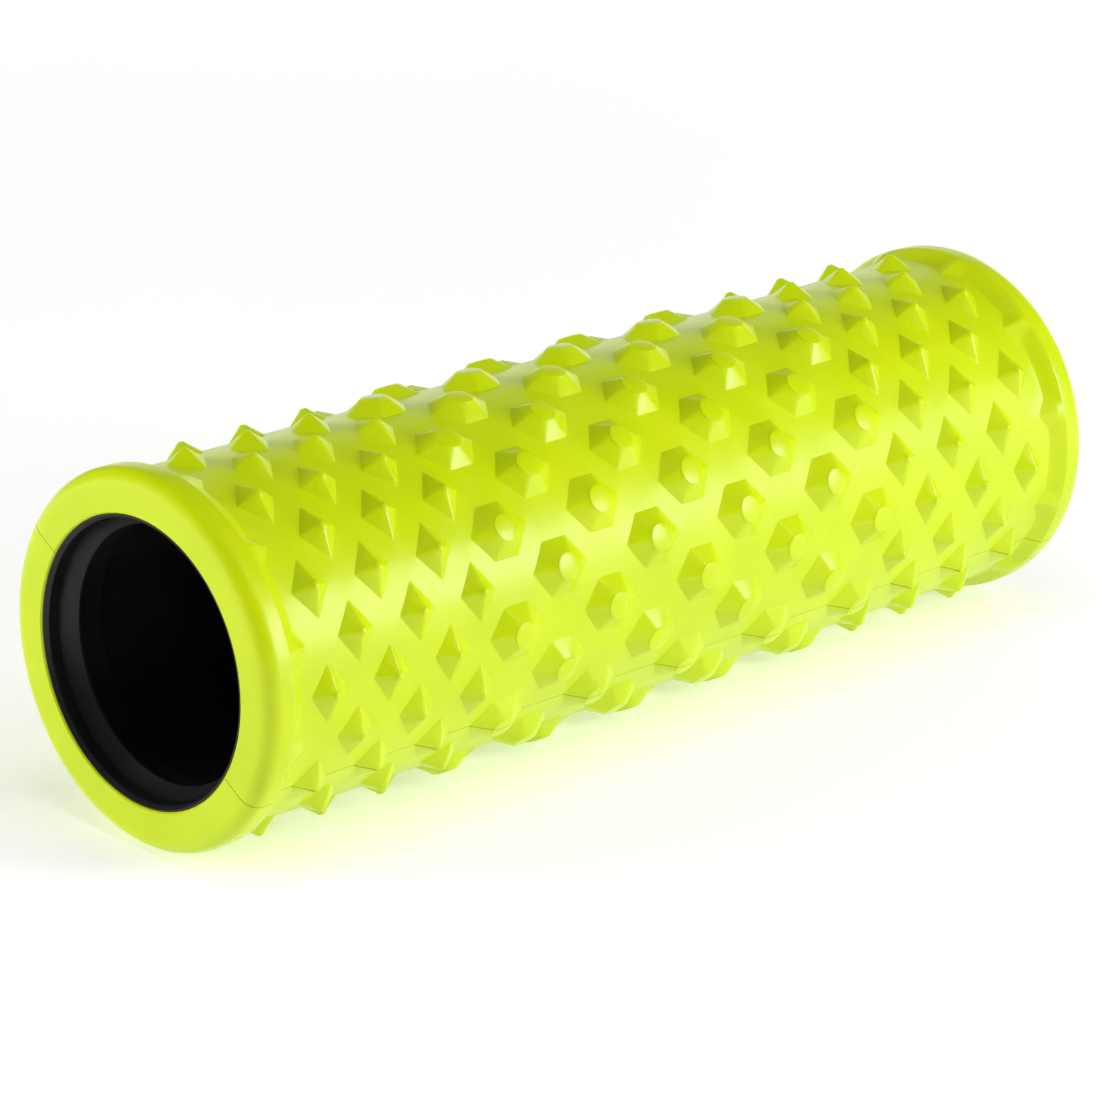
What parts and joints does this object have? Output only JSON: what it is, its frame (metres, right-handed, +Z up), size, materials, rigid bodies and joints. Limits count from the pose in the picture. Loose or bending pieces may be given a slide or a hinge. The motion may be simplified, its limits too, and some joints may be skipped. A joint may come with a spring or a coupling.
{
  "type": "foam massage roller",
  "caption": "Hollow massage roller: a studded foam sleeve in two half shells with smooth end collars, glued on a stiff black core tube open right through.",
  "frame": {"origin": "middle of the roller's axis, halfway between the two end faces", "axes": "+X along the axis towards the right-hand end, +Z up as the roller lies on the floor, +Y completes the right-handed frame"},
  "size_m": [0.45, 0.1484, 0.1476],
  "materials": {
    "foam": "satin closed-cell moulded foam, bright lime yellow",
    "core_plastic": "black extruded plastic with a soft shine",
    "ring_plastic": "black moulded plastic, satin"
  },
  "bodies": {
    "root": {"foam_half_upper": "foam", "foam_half_lower": "foam", "core_tube": "core_plastic", "end_ring_left": "ring_plastic", "end_ring_right": "ring_plastic"}
  },
  "joints": []
}
